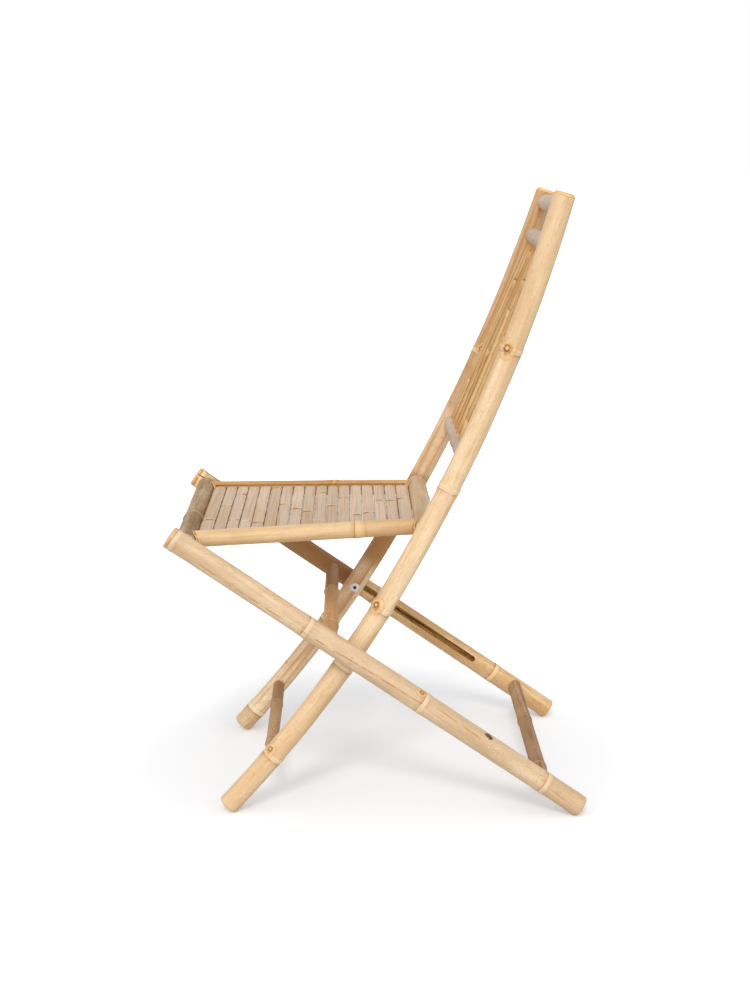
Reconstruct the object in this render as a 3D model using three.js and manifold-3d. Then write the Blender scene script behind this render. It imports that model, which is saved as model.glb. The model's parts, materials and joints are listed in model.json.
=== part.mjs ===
// Folding chair of bamboo poles, in millimetres, +Z up, its front towards -Y and its left side at +X.
// Two legs and two posts cross as an X on each side. The seat hangs between them: its front rail turns
// in the legs, its rear rail turns in the posts, and a bolt through each post slides in a slot in the leg.
import * as THREE from 'three';
import { mergeVertices } from 'three/addons/utils/BufferGeometryUtils.js';
import Module from 'manifold-3d';

const wasm = await Module();
wasm.setup();

// Leg poles, with distances measured along the pole
const legRadius = 17;
const legLength = 713;
const legSpacing = 416.4;
const legNodeSwell = 0.7;
const leftLegNodeShares = [0.0065, 0.321, 0.599, 0.902];
const rightLegNodeShares = [0.0065, 0.2, 0.5, 0.832];

// Post poles: below and above are measured from the bolt, along the line through the rear hinge, and
// each sweep is how far the pole's end bends forward of that line
const postRadius = 16.5;
const postBelow = 302;
const postAbove = 702.5;
const footSweep = 41;
const leftTopSweep = 79;
const rightTopSweep = 62;
const postNodeSwell = 0.9;
const leftPostNodeShares = [0.096, 0.266, 0.367, 0.565, 0.78];
const rightPostNodeShares = [0.031, 0.223, 0.42, 0.727];

// The fold: hinge and bolt distances, how far the bolt lies above the leg's axis, and the angle that
// leg and post keep between them when folded
const hingeInset = 24;
const hingeSpan = 341;
const boltReach = 289.7;
const boltRise = 4;
const hingeToBolt = 198.9;
const foldedAngle = THREE.MathUtils.degToRad(15);

// Gaps: between a leg and the post beside it, between touching pieces, and what the floor wears off
const crossingGap = 3.1;
const fit = 0.3;
const footWear = 2;
const overrun = 2;

// Culm shape that all poles share
const culmSides = 16;
const boreSides = 12;
const postStationStep = 90;
const nodeWidth = 5;
const endRound = 1.2;
const tenonRadius = 6;
const tenonDepth = 11;

// Slot in each leg, the hollow behind it, and its sliding nut
const slotWidth = 10;
const hollowRadius = 12;
const hollowEndRoom = 14;
const nutFlangeRadius = 6.2;
const nutFlangeThickness = 3;

// Bolt and washer at the crossing, and the pins of the two seat hinges
const boltRadius = 3;
const boltHeadRadius = 7.5;
const boltHeadThickness = 3;
const boltHeadBevel = 0.6;
const socketRadius = 2.9;
const socketDepth = 2;
const washerRadius = 8.5;
const washerThickness = 2;
const pinRadius = 4;
const pinInRail = 13;
const pinInPole = 13;

// Stretchers: the upper one lies before the bolt and the rear one before the foot, both along the leg,
// and the front one below the bolt along the post
const upperStretcherToBolt = 41.7;
const upperStretcherRadius = 11.8;
const rearStretcherToFoot = 73;
const rearStretcherRise = 4;
const rearStretcherRadius = 11.8;
const frontStretcherToFoot = 93;
const frontStretcherRadius = 10.2;

// Seat
const frontRailRadius = 15.5;
const rearRailRadius = 15.5;
const sideRailRadius = 13;
const sideRailFrontSpacing = 340;
const sideRailRearSpacing = 266;
const seatSlatCount = 17;
const seatSlatTop = 6.5;
const seatSlatThickness = 5.5;
const seatSlatCrown = 0.8;
const seatSlatGap = 0.8;
const seatEndGap = 2;
const grooveDepth = 8;
const grooveEndRoom = 1;

// Back: rails measured from the bolt along the hinge line, and set back behind the posts' axes
const lowerRailAt = 312;
const lowerRailRadius = 12.5;
const secondRailAt = 630;
const secondRailRadius = 13;
const topRailAt = 683;
const topRailRadius = 13;
const railSetback = 4;
const backSlatCount = 7;
const backSlatPitch = 46;
const backSlatWidth = 22;
const backSlatThickness = 9;
const backSlatForward = 3;
const backSlatCrown = 1;
const backTenonRadius = 3.5;
const backTenonSides = 8;
const backTenonDepth = 9;

// Shares of the length at which each cross pole has its nodes, from its right end to its left end
const upperStretcherNodeShares = [0.356, 0.8];
const rearStretcherNodeShares = [0.42, 0.9];
const frontStretcherNodeShares = [0.3, 0.81];
const frontRailNodeShares = [0.627];
const rearRailNodeShares = [0.3575, 0.84];
const leftRailNodeShares = [0.7];
const rightRailNodeShares = [0.6];
const lowerRailNodeShares = [0.51];
const secondRailNodeShares = [0.54];
const topRailNodeShares = [0.36, 0.8];
const crossNodeSwell = 0.8;

// The open linkage in the leg's frame: the front hinge is its origin, and the first axis runs down the leg
const origin = new THREE.Vector2();
const bolt = new THREE.Vector2(boltReach, boltRise);
const boltDistance = bolt.length();
const seatAngle = bolt.angle()
  + Math.acos((boltDistance ** 2 + hingeSpan ** 2 - hingeToBolt ** 2) / (2 * boltDistance * hingeSpan));
const rearHinge = new THREE.Vector2(hingeSpan, 0).rotateAround(origin, seatAngle);
const backAngle = rearHinge.clone().sub(bolt).angle();

// How far the bolt slides down the leg until the chair is folded
const foldedRise = boltRise + hingeToBolt * Math.sin(foldedAngle);
const foldedReach = hingeToBolt * Math.cos(foldedAngle) + Math.sqrt(hingeSpan ** 2 - foldedRise ** 2);
const slotTravel = foldedReach - boltReach;

// Lateral places of the two frames
const legX = legSpacing / 2;
const legInnerX = legX - legRadius;
const postX = legInnerX - crossingGap - postRadius;
const postInnerX = postX - postRadius;
const postOuterX = postX + postRadius;
const sides = [
  { side: 'left', sign: 1, legNodes: leftLegNodeShares, postNodes: leftPostNodeShares,
    topSweep: leftTopSweep, railNodes: leftRailNodeShares },
  { side: 'right', sign: -1, legNodes: rightLegNodeShares, postNodes: rightPostNodeShares,
    topSweep: rightTopSweep, railNodes: rightRailNodeShares },
];

// A post's centre line: height z forward of the hinge line at distance t from the bolt, and its slope
const footBend = footSweep / (postBelow * (postBelow + hingeToBolt));
const bendAt = (t, topSweep) => {
  const topBend = topSweep / (postAbove * (postAbove - hingeToBolt));
  return THREE.MathUtils.lerp(footBend, topBend, THREE.MathUtils.smoothstep(t, 0, hingeToBolt));
};
const postPoint = (t, topSweep) => {
  const z = bendAt(t, topSweep) * t * (t - hingeToBolt);
  const slope = bendAt(t, topSweep) * (2 * t - hingeToBolt);
  const forward = new THREE.Vector2(-slope, 1).normalize();
  return { t, z, forward };
};

// Closed solids from three.js geometries and back
const toSolid = (geometry) => {
  const bare = geometry.clone();
  bare.deleteAttribute('normal');
  bare.deleteAttribute('uv');
  const merged = mergeVertices(bare);
  const triVerts = [];
  for (let i = 0; i < merged.index.count; i += 3) {
    const [a, b, c] = [0, 1, 2].map((k) => merged.index.getX(i + k));
    if (a !== b && b !== c && c !== a) triVerts.push(a, b, c);
  }
  return new wasm.Manifold(new wasm.Mesh({
    numProp: 3,
    vertProperties: new Float32Array(merged.attributes.position.array),
    triVerts: new Uint32Array(triVerts),
  }));
};
const toGeometry = (solid) => {
  const mesh = solid.getMesh();
  const geometry = new THREE.BufferGeometry();
  geometry.setAttribute('position', new THREE.BufferAttribute(new Float32Array(mesh.vertProperties), 3));
  geometry.setIndex(new THREE.BufferAttribute(new Uint32Array(mesh.triVerts), 1));
  const faceted = geometry.toNonIndexed();
  faceted.computeVertexNormals();
  return faceted;
};

// A turned solid: profile points are [radius, height], from axis to axis, about +Y
const turned = (points, segments) =>
  new THREE.LatheGeometry(points.map(([radius, height]) => new THREE.Vector2(radius, height)), segments);

// A culm along +Y from the origin, with rounded ends, a raised ring at each node, and extra stations
const culmGeometry = ({ length, radius, swell, nodeShares, stations = [] }) => {
  const rings = [[radius - endRound, 0], [radius, endRound]];
  const marks = [
    ...nodeShares.map((share) => ({ height: share * length, node: true })),
    ...stations.map((height) => ({ height, node: false })),
  ].sort((a, b) => a.height - b.height);
  for (const { height, node } of marks) {
    const half = nodeWidth / 2;
    const room = node ? half : nodeWidth;
    const inside = height - room > rings.at(-1)[1] && height + room < length - endRound;
    if (!inside) continue;
    if (node) rings.push([radius, height - half], [radius + swell, height], [radius, height + half]);
    else rings.push([radius, height]);
  }
  rings.push([radius, length - endRound], [radius - endRound, length]);
  return turned([[0, 0], ...rings, [0, length]], culmSides);
};

// A plain rod along +X between two places on the X axis, set at y and z
const rodAlongX = (radius, fromX, toX, y, z, segments = boreSides) => {
  const rod = new THREE.CylinderGeometry(radius, radius, Math.abs(toX - fromX), segments);
  rod.rotateZ(Math.PI / 2);
  return toSolid(rod.translate((fromX + toX) / 2, y, z));
};

// Turns a geometry made along +Y so that it runs from one point towards another, keeping X lateral
const aimed = (geometry, from, to) => {
  const along = new THREE.Vector3().subVectors(to, from).normalize();
  const lateral = Math.abs(along.x) < Math.SQRT1_2 ? new THREE.Vector3(1, 0, 0) : new THREE.Vector3(0, -1, 0);
  const normal = new THREE.Vector3().crossVectors(lateral, along).normalize();
  lateral.crossVectors(along, normal);
  const basis = new THREE.Matrix4().makeBasis(lateral, along, normal).setPosition(from);
  return geometry.applyMatrix4(basis);
};

// A pole between two carriers: coped around both, with a round tenon that enters a blind bore in each
const crossPole = ({ from, to, radius, nodeShares, carriers, carrierRadius }) => {
  const length = from.distanceTo(to);
  const body = toSolid(aimed(culmGeometry({ length, radius, swell: crossNodeSwell, nodeShares }), from, to));
  const rod = (rodRadius, depth) => {
    const inset = carrierRadius - depth;
    const geometry = new THREE.CylinderGeometry(rodRadius, rodRadius, length - 2 * inset, boreSides);
    return toSolid(aimed(geometry.translate(0, length / 2, 0), from, to));
  };
  let coped = body;
  for (const carrier of carriers) coped = coped.subtract(carrier);
  return { solid: coped.add(rod(tenonRadius, tenonDepth)), bore: rod(tenonRadius + fit, tenonDepth + fit) };
};

// Finishes, one material for each mesh
const finishes = {
  pole: { color: 0xe2c595, roughness: 0.55, metalness: 0 },
  rail: { color: 0xcdb28e, roughness: 0.6, metalness: 0 },
  stretcher: { color: 0xa8865f, roughness: 0.6, metalness: 0 },
  slat: { color: 0xd2bba0, roughness: 0.65, metalness: 0 },
  steel: { color: 0xb9b9b6, roughness: 0.35, metalness: 1 },
  nylon: { color: 0xe6e2d8, roughness: 0.5, metalness: 0 },
};
const addPiece = (group, name, geometry, finish) => {
  const mesh = new THREE.Mesh(geometry, new THREE.MeshStandardMaterial(finishes[finish]));
  mesh.name = name;
  group.add(mesh);
};

// The two corners that touch the floor, in the leg's frame, give the slope at which the chair stands
const footEnd = postPoint(-postBelow, leftTopSweep);
const footCorner = new THREE.Vector2(footEnd.t, footEnd.z).addScaledVector(footEnd.forward, -postRadius);
const postCorner = footCorner.rotateAround(origin, backAngle).add(bolt);
const legCorner = new THREE.Vector2(legLength - hingeInset, -legRadius);
const legSlope = legCorner.clone().sub(postCorner).angle();
const frontHingeHeight = -legCorner.rotateAround(origin, -legSlope).y - footWear;

// Three frames: the leg frame and the seat share the front hinge, and the back frame starts at the bolt
const chair = new THREE.Group();
const legFrame = new THREE.Group();
legFrame.position.z = frontHingeHeight;
legFrame.rotation.x = -legSlope;
const seat = new THREE.Group();
seat.position.z = frontHingeHeight;
seat.rotation.x = seatAngle - legSlope;
const backFrame = new THREE.Group();
backFrame.position.set(0, boltReach, boltRise);
backFrame.rotation.x = backAngle;
legFrame.add(backFrame);
chair.add(legFrame, seat);
chair.updateMatrixWorld(true);

// Everything below the floor, seen from one of the frames
const floorFor = (frame) => {
  const reach = legLength + postAbove;
  const slab = new THREE.BoxGeometry(reach, 2 * reach, overrun + footWear);
  slab.translate(0, 0, -(overrun + footWear) / 2);
  return toSolid(slab.applyMatrix4(frame.matrixWorld.clone().invert()));
};

// Outlines of legs, posts and seat rails, plain and grown by the fit that copes keep to them
const legOutline = ({ sign, legNodes }, grow) =>
  toSolid(culmGeometry({
    length: legLength, radius: legRadius + grow, swell: legNodeSwell, nodeShares: legNodes,
  }).translate(sign * legX, -hingeInset, 0));
const postOutline = ({ sign, postNodes, topSweep }, grow) => {
  const length = postBelow + postAbove;
  const stationCount = Math.floor(length / postStationStep);
  const stations = Array.from({ length: stationCount }, (_, i) => ((i + 1) * length) / (stationCount + 1));
  const geometry = culmGeometry({
    length, radius: postRadius + grow, swell: postNodeSwell, nodeShares: postNodes, stations,
  });
  const place = geometry.attributes.position;
  for (let i = 0; i < place.count; i += 1) {
    const { t, z, forward } = postPoint(place.getY(i) - postBelow, topSweep);
    const off = place.getZ(i);
    place.setXYZ(i, sign * postX + place.getX(i), t + forward.x * off, z + forward.y * off);
  }
  return toSolid(geometry);
};
const railOutline = (radius, endX, nodeShares, grow) => {
  const geometry = culmGeometry({ length: 2 * endX, radius: radius + grow, swell: crossNodeSwell, nodeShares });
  return geometry.translate(0, -endX, 0).rotateZ(-Math.PI / 2);
};

// Leg frame: two stretchers between the legs
const grownLegs = sides.map((one) => legOutline(one, fit));
const betweenLegs = (along, rise, radius, nodeShares) => crossPole({
  from: new THREE.Vector3(-legX, along, rise), to: new THREE.Vector3(legX, along, rise),
  radius, nodeShares, carriers: grownLegs, carrierRadius: legRadius,
});
const upperStretcher = betweenLegs(
  boltReach - upperStretcherToBolt, 0, upperStretcherRadius, upperStretcherNodeShares);
const rearStretcher = betweenLegs(
  legLength - hingeInset - rearStretcherToFoot, rearStretcherRise, rearStretcherRadius, rearStretcherNodeShares);
addPiece(legFrame, 'upper_stretcher', toGeometry(upperStretcher.solid), 'stretcher');
addPiece(legFrame, 'rear_stretcher', toGeometry(rearStretcher.solid), 'stretcher');

// Each leg: bores for stretchers and hinge pin, the slot with its hollow, and the worn foot
const slotEnds = [boltReach, boltReach + slotTravel];
const legFloor = floorFor(legFrame);
for (const one of sides) {
  const x = one.sign * legX;
  const innerX = one.sign * legInnerX;
  const outward = one.sign;
  const hollowLength = slotTravel + 2 * hollowEndRoom;
  const hollow = turned([[0, 0], [hollowRadius, 0], [hollowRadius, hollowLength], [0, hollowLength]], culmSides);
  hollow.translate(x, boltReach - hollowEndRoom, 0);
  const slotBox = new THREE.BoxGeometry(legRadius + overrun, slotTravel, slotWidth);
  slotBox.translate(x - (outward * (legRadius + overrun)) / 2, boltReach + slotTravel / 2, boltRise);
  const slotCaps = slotEnds.map((y) => rodAlongX(slotWidth / 2, x, innerX - outward * overrun, y, boltRise));
  const pinBore = rodAlongX(pinRadius + fit, innerX - outward * overrun, innerX + outward * (pinInPole + fit), 0, 0);
  let leg = legOutline(one, 0);
  const cuts = [upperStretcher.bore, rearStretcher.bore, toSolid(hollow), toSolid(slotBox), ...slotCaps, pinBore,
    legFloor];
  for (const cut of cuts) leg = leg.subtract(cut);
  addPiece(legFrame, `${one.side}_leg`, toGeometry(leg), 'pole');

  const sleeveRadius = slotWidth / 2 - fit;
  const flangeFace = Math.sqrt(hollowRadius ** 2 - (boltRise + nutFlangeRadius) ** 2) - 2 * fit;
  const nut = turned([
    [0, flangeFace - nutFlangeThickness], [nutFlangeRadius, flangeFace - nutFlangeThickness],
    [nutFlangeRadius, flangeFace], [sleeveRadius, flangeFace], [sleeveRadius, legRadius], [0, legRadius],
  ], culmSides);
  nut.rotateZ((outward * Math.PI) / 2).translate(x, boltReach, boltRise);
  addPiece(legFrame, `${one.side}_slot_nut`, nut, 'steel');
}

// Seat: two cross rails that turn on pins, and two side rails coped between them
const frontRailEnd = legInnerX - fit;
const rearRailEnd = postInnerX - fit;
const frontRail = (grow) => toSolid(railOutline(frontRailRadius, frontRailEnd, frontRailNodeShares, grow));
const rearRail = (grow) =>
  toSolid(railOutline(rearRailRadius, rearRailEnd, rearRailNodeShares, grow).translate(0, hingeSpan, 0));
const grownRails = [frontRail(fit), rearRail(fit)];
const grooveFrom = frontRailRadius + seatEndGap;
const grooveTo = hingeSpan - rearRailRadius - seatEndGap;
const splay = Math.atan2(sideRailFrontSpacing - sideRailRearSpacing, 2 * hingeSpan);
const grooveStart = grooveFrom / Math.cos(splay) - grooveEndRoom;
const grooveEnd = grooveTo / Math.cos(splay) + grooveEndRoom;
const railBores = [];
for (const { side, sign, railNodes } of sides) {
  const from = new THREE.Vector3((sign * sideRailFrontSpacing) / 2, 0, 0);
  const to = new THREE.Vector3((sign * sideRailRearSpacing) / 2, hingeSpan, 0);
  const rail = crossPole({
    from, to, radius: sideRailRadius, nodeShares: railNodes, carriers: grownRails,
    carrierRadius: Math.min(frontRailRadius, rearRailRadius),
  });
  railBores.push(rail.bore);
  const grooveHeight = seatSlatThickness + 2 * fit;
  const groove = new THREE.BoxGeometry(sideRailRadius, grooveEnd - grooveStart, grooveHeight);
  groove.translate(
    sign * (grooveDepth - (3 / 2) * sideRailRadius), (grooveStart + grooveEnd) / 2,
    seatSlatTop - seatSlatThickness / 2,
  );
  const groovedRail = rail.solid.subtract(toSolid(aimed(groove, from, to)));
  addPiece(seat, `${side}_side_rail`, toGeometry(groovedRail), 'pole');
}

// Hinge pins: pressed into a rail's end, turning in the leg or post beside it
const hinges = [
  { name: 'front', y: 0, endX: frontRailEnd, faceX: legInnerX },
  { name: 'rear', y: hingeSpan, endX: rearRailEnd, faceX: postInnerX },
];
const pinBores = { front: [], rear: [] };
for (const { name, y, endX, faceX } of hinges) {
  for (const { side, sign } of sides) {
    const pin = rodAlongX(pinRadius, sign * (endX - pinInRail), sign * (faceX + pinInPole - fit), y, 0);
    addPiece(seat, `${side}_${name}_pin`, toGeometry(pin), 'steel');
    pinBores[name].push(
      rodAlongX(pinRadius + fit, sign * (endX - pinInRail - fit), sign * (endX + overrun), y, 0));
  }
}
const boredRail = (rail, bores) => {
  let solid = rail;
  for (const bore of bores) solid = solid.subtract(bore);
  return toGeometry(solid);
};
addPiece(seat, 'front_rail', boredRail(frontRail(0), [...railBores, ...pinBores.front]), 'rail');
addPiece(seat, 'rear_rail', boredRail(rearRail(0), [...railBores, ...pinBores.rear]), 'rail');

// A split slat's section, flat below and crowned above, drawn across its width
const slatSection = (width, thickness, crown) => {
  const half = width / 2;
  const shape = new THREE.Shape();
  shape.moveTo(-half, -thickness / 2);
  shape.lineTo(half, -thickness / 2);
  shape.lineTo(half, thickness / 2 - crown);
  shape.lineTo(half / 2, thickness / 2);
  shape.lineTo(-half / 2, thickness / 2);
  shape.lineTo(-half, thickness / 2 - crown);
  return shape;
};

// Seat slats: side by side from front to rear, shorter towards the rear, their ends in the grooves
const slatPitch = (grooveTo - grooveFrom) / seatSlatCount;
const slatInset = (sideRailRadius - grooveDepth) / Math.cos(splay) + fit;
for (let i = 0; i < seatSlatCount; i += 1) {
  const section = slatSection(slatPitch - seatSlatGap, seatSlatThickness, seatSlatCrown);
  const rearShare = (grooveFrom + (i + 1) * slatPitch) / hingeSpan;
  const slatEndX = THREE.MathUtils.lerp(sideRailFrontSpacing, sideRailRearSpacing, rearShare) / 2 - slatInset;
  const slat = new THREE.ExtrudeGeometry(section, { depth: 2 * slatEndX, bevelEnabled: false });
  slat.rotateX(Math.PI / 2).rotateZ(Math.PI / 2);
  slat.translate(-slatEndX, grooveFrom + (i + 1 / 2) * slatPitch, seatSlatTop - seatSlatThickness / 2);
  addPiece(seat, `seat_slat_${String(i + 1).padStart(2, '0')}`, slat, 'slat');
}

// Back frame: the front stretcher and three back rails between the bent posts
const grownPosts = sides.map((one) => postOutline(one, fit));
const onPost = ({ sign, topSweep }, at, setback) => {
  const { t, z, forward } = postPoint(at, topSweep);
  return new THREE.Vector3(sign * postX, t - forward.x * setback, z - forward.y * setback);
};
const betweenPosts = (at, setback, radius, nodeShares) => crossPole({
  from: onPost(sides[1], at, setback), to: onPost(sides[0], at, setback),
  radius, nodeShares, carriers: grownPosts, carrierRadius: postRadius,
});
const frontStretcher = betweenPosts(
  frontStretcherToFoot - postBelow, 0, frontStretcherRadius, frontStretcherNodeShares);
const topRail = betweenPosts(topRailAt, railSetback, topRailRadius, topRailNodeShares);
const lowerRail = betweenPosts(lowerRailAt, railSetback, lowerRailRadius, lowerRailNodeShares);
const secondRail = betweenPosts(secondRailAt, railSetback, secondRailRadius, secondRailNodeShares);
addPiece(backFrame, 'front_stretcher', toGeometry(frontStretcher.solid), 'stretcher');
addPiece(backFrame, 'top_rail', toGeometry(topRail.solid), 'rail');

// Back slats: tenoned into the lower and second rails, evenly spaced about the middle
const backTenon = (radius, depth, from, to) => {
  const clear = from.distanceTo(to) - lowerRailRadius - secondRailRadius;
  const rod = new THREE.CylinderGeometry(radius, radius, clear + 2 * depth, backTenonSides);
  return toSolid(aimed(rod.translate(0, lowerRailRadius + clear / 2, 0), from, to));
};
let boredLower = lowerRail.solid;
let boredSecond = secondRail.solid;
for (let i = 0; i < backSlatCount; i += 1) {
  const share = 1 / 2 + ((i - (backSlatCount - 1) / 2) * backSlatPitch) / (2 * postX);
  const [from, to] = [lowerRailAt, secondRailAt].map((at) =>
    onPost(sides[1], at, railSetback - backSlatForward)
      .lerp(onPost(sides[0], at, railSetback - backSlatForward), share));
  const bodyEnd = crossNodeSwell + fit;
  const length = from.distanceTo(to) - lowerRailRadius - secondRailRadius - 2 * bodyEnd;
  const section = slatSection(backSlatWidth, backSlatThickness, backSlatCrown);
  const body = new THREE.ExtrudeGeometry(section, { depth: length, bevelEnabled: false });
  body.rotateX(Math.PI / 2).translate(0, length + lowerRailRadius + bodyEnd, 0);
  const slat = toSolid(aimed(body, from, to)).add(backTenon(backTenonRadius, backTenonDepth, from, to));
  addPiece(backFrame, `back_slat_${i + 1}`, toGeometry(slat), 'slat');
  const mortise = backTenon(backTenonRadius + fit, backTenonDepth + fit, from, to);
  boredLower = boredLower.subtract(mortise);
  boredSecond = boredSecond.subtract(mortise);
}
addPiece(backFrame, 'lower_back_rail', toGeometry(boredLower), 'rail');
addPiece(backFrame, 'second_rail', toGeometry(boredSecond), 'rail');

// Each post: bores for its cross poles, the hinge pin and the bolt, and the worn foot
const postFloor = floorFor(backFrame);
for (const one of sides) {
  const { side, sign } = one;
  let post = postOutline(one, 0);
  const cuts = [
    frontStretcher.bore, topRail.bore, lowerRail.bore, secondRail.bore, postFloor,
    rodAlongX(pinRadius + fit, sign * (postInnerX - overrun), sign * (postInnerX + pinInPole + fit), hingeToBolt, 0),
    rodAlongX(boltRadius + fit, sign * (postInnerX - overrun), sign * (postOuterX + overrun), 0, 0),
  ];
  for (const cut of cuts) post = post.subtract(cut);
  addPiece(backFrame, `${side}_post`, toGeometry(post), 'pole');

  const washerFrom = postOuterX + fit;
  const washerTo = washerFrom + washerThickness;
  const washer = turned([
    [boltRadius + fit, washerFrom], [washerRadius, washerFrom],
    [washerRadius, washerTo], [boltRadius + fit, washerTo], [boltRadius + fit, washerFrom],
  ], culmSides);
  addPiece(backFrame, `${side}_spacer_washer`, washer.rotateZ((-sign * Math.PI) / 2), 'nylon');

  const headFace = postInnerX - fit;
  const bolt = turned([
    [0, headFace - boltHeadThickness], [boltHeadRadius - boltHeadBevel, headFace - boltHeadThickness],
    [boltHeadRadius, headFace - boltHeadThickness + boltHeadBevel], [boltHeadRadius, headFace],
    [boltRadius, headFace], [boltRadius, washerTo], [0, washerTo],
  ], culmSides);
  const socketFrom = headFace - boltHeadThickness - overrun;
  const socketTo = headFace - boltHeadThickness + socketDepth;
  const socket = rodAlongX(socketRadius, sign * socketFrom, sign * socketTo, 0, 0, 6);
  const boltSolid = toSolid(bolt.rotateZ((-sign * Math.PI) / 2)).subtract(socket);
  addPiece(backFrame, `${side}_pivot_bolt`, toGeometry(boltSolid), 'steel');
}

// The origin is the middle of the footprint, on the floor
const extent = new THREE.Box3().setFromObject(chair, true);
chair.position.y = -(extent.min.y + extent.max.y) / 2;

export default chair;
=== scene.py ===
import json
import math

import bmesh
import bpy
from mathutils import Euler, Matrix, Vector, noise


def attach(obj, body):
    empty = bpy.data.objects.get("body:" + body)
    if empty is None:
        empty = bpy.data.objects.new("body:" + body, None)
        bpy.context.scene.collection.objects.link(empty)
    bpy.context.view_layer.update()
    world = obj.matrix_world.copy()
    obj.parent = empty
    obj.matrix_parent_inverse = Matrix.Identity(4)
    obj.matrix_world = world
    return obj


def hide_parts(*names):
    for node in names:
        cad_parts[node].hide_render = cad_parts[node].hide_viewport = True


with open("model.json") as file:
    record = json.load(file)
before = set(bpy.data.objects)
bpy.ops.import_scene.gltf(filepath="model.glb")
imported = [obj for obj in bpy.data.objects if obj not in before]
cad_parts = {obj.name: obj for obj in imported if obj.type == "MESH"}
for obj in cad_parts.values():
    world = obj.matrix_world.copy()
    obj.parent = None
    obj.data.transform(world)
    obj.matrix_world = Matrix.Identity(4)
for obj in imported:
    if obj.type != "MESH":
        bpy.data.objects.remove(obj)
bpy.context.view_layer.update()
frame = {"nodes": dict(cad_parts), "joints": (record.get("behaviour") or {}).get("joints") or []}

# Camera: on the chair's left side, a little higher than its back, looking slightly down at it.
view = bpy.data.cameras.new("camera")
view.lens, view.sensor_width = 60.23, 36
camera = bpy.data.objects.new("camera", view)
camera_place = (2.4771, -0.03155, 0.98123)
yaw, pitch, roll = 0.012924, 0.220308, -0.013549
ahead = Vector((-math.cos(pitch) * math.cos(yaw), math.cos(pitch) * math.sin(yaw), -math.sin(pitch)))
rightward = Vector((math.sin(yaw), math.cos(yaw), 0))
level = Matrix((rightward, rightward.cross(ahead), -ahead)).transposed()
turn = Matrix.Rotation(-roll, 3, ahead) @ level
camera.matrix_world = Matrix.Translation(camera_place) @ turn.to_4x4()
bpy.context.collection.objects.link(camera)
bpy.context.scene.camera = camera
bpy.context.scene.view_settings.view_transform = "Standard"


# Studio: a white room with a pale floor. Its walls are brightest behind the camera, and a soft lamp
# high up on the camera's side throws a shadow behind each foot.
class Value:
    """A number that varies over a surface. Arithmetic on it adds Math nodes."""

    def __init__(self, finish, socket):
        self.finish = finish
        self.socket = socket

    def math(self, operation, *values):
        return self.finish.node("ShaderNodeMath", {"operation": operation}, dict(enumerate(values)))

    def __add__(self, other):
        return self.math("ADD", self, other)

    def __sub__(self, other):
        return self.math("SUBTRACT", self, other)

    def __rsub__(self, other):
        return self.math("SUBTRACT", other, self)

    def __mul__(self, other):
        return self.math("MULTIPLY", self, other)

    def __truediv__(self, other):
        return self.math("DIVIDE", self, other)

    def size(self):
        return self.math("ABSOLUTE", self)

    def root(self):
        return self.math("SQRT", self)

    def most(self, other):
        return self.math("MAXIMUM", self, other)


def paint(red, green, blue):
    """A colour from its 0 to 255 values, as Blender's sockets take it."""
    shares = [channel / 255 for channel in (red, green, blue)]
    return (*[s / 12.92 if s <= 0.04045 else ((s + 0.055) / 1.055) ** 2.4 for s in shares], 1)


class Finish:
    """A material, or the room's light, and the nodes that make it."""

    def __init__(self, name, owner=None):
        self.owner = owner or bpy.data.materials.new(name)
        self.owner.use_nodes = True
        self.tree = self.owner.node_tree
        self.tree.nodes.clear()

    def node(self, kind, settings, inputs, output=0):
        """Adds a node with its settings and inputs, and gives one of its outputs."""
        made = self.tree.nodes.new(kind)
        for key, value in settings.items():
            setattr(made, key, value)
        for key, value in inputs.items():
            if isinstance(value, Value):
                self.tree.links.new(value.socket, made.inputs[key])
            else:
                made.inputs[key].default_value = value
        return Value(self, made.outputs[output]) if made.outputs else None

    def step(self, value, low, high):
        """0 below low and 1 above high, or the other way round, with a smooth passage."""
        return self.node("ShaderNodeMapRange", {"interpolation_type": "SMOOTHSTEP"},
                         {"Value": value, "From Min": low, "From Max": high})

    def mix(self, amount, first, second, blend="MIX"):
        return self.node("ShaderNodeMix", {"data_type": "RGBA", "blend_type": blend},
                         {0: amount, 6: first, 7: second}, 2)

    def noise(self, vector, scale, detail=2.0, roughness=0.5):
        """Noise whose grain has its own scale along each axis."""
        stretched = self.node("ShaderNodeVectorMath", {"operation": "MULTIPLY"}, {0: vector, 1: scale})
        return self.node("ShaderNodeTexNoise", {},
                         {"Vector": stretched, "Scale": 1, "Detail": detail, "Roughness": roughness})

    def reading(self, layer, output="Fac"):
        """What a layer of the mesh says at each point."""
        return self.node("ShaderNodeAttribute", {"attribute_name": layer}, {}, output)

    def parts(self, layer):
        """The three numbers of a layer's vector."""
        first = self.node("ShaderNodeSeparateXYZ", {}, {0: self.reading(layer, "Vector")})
        return [Value(self, socket) for socket in first.socket.node.outputs]

    def coated(self, colour, *coats):
        """The colour under coats of (amount, colour), each over the one before."""
        for amount, coat in coats:
            colour = self.mix(amount, colour, coat)
        return colour

    def shaded(self, colour, amount, least):
        """The colour, darkened down to the least share of it where the amount is low."""
        grey = self.node("ShaderNodeCombineColor", {}, dict.fromkeys(range(3), amount + least))
        return self.mix(1.0, colour, grey, "MULTIPLY")

    def surface(self, colour, roughness, height, strength=0.7, shine=0.5, metallic=0.0):
        """Ends a material in its shader, with the height in metres as relief."""
        relief = self.node("ShaderNodeBump", {}, {"Strength": strength, "Distance": 1.0, "Height": height})
        shader = self.node("ShaderNodeBsdfPrincipled", {}, {
            "Base Color": colour, "Roughness": roughness, "Normal": relief, "Specular IOR Level": shine,
            "Metallic": metallic})
        self.node("ShaderNodeOutputMaterial", {}, {"Surface": shader})


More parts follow.
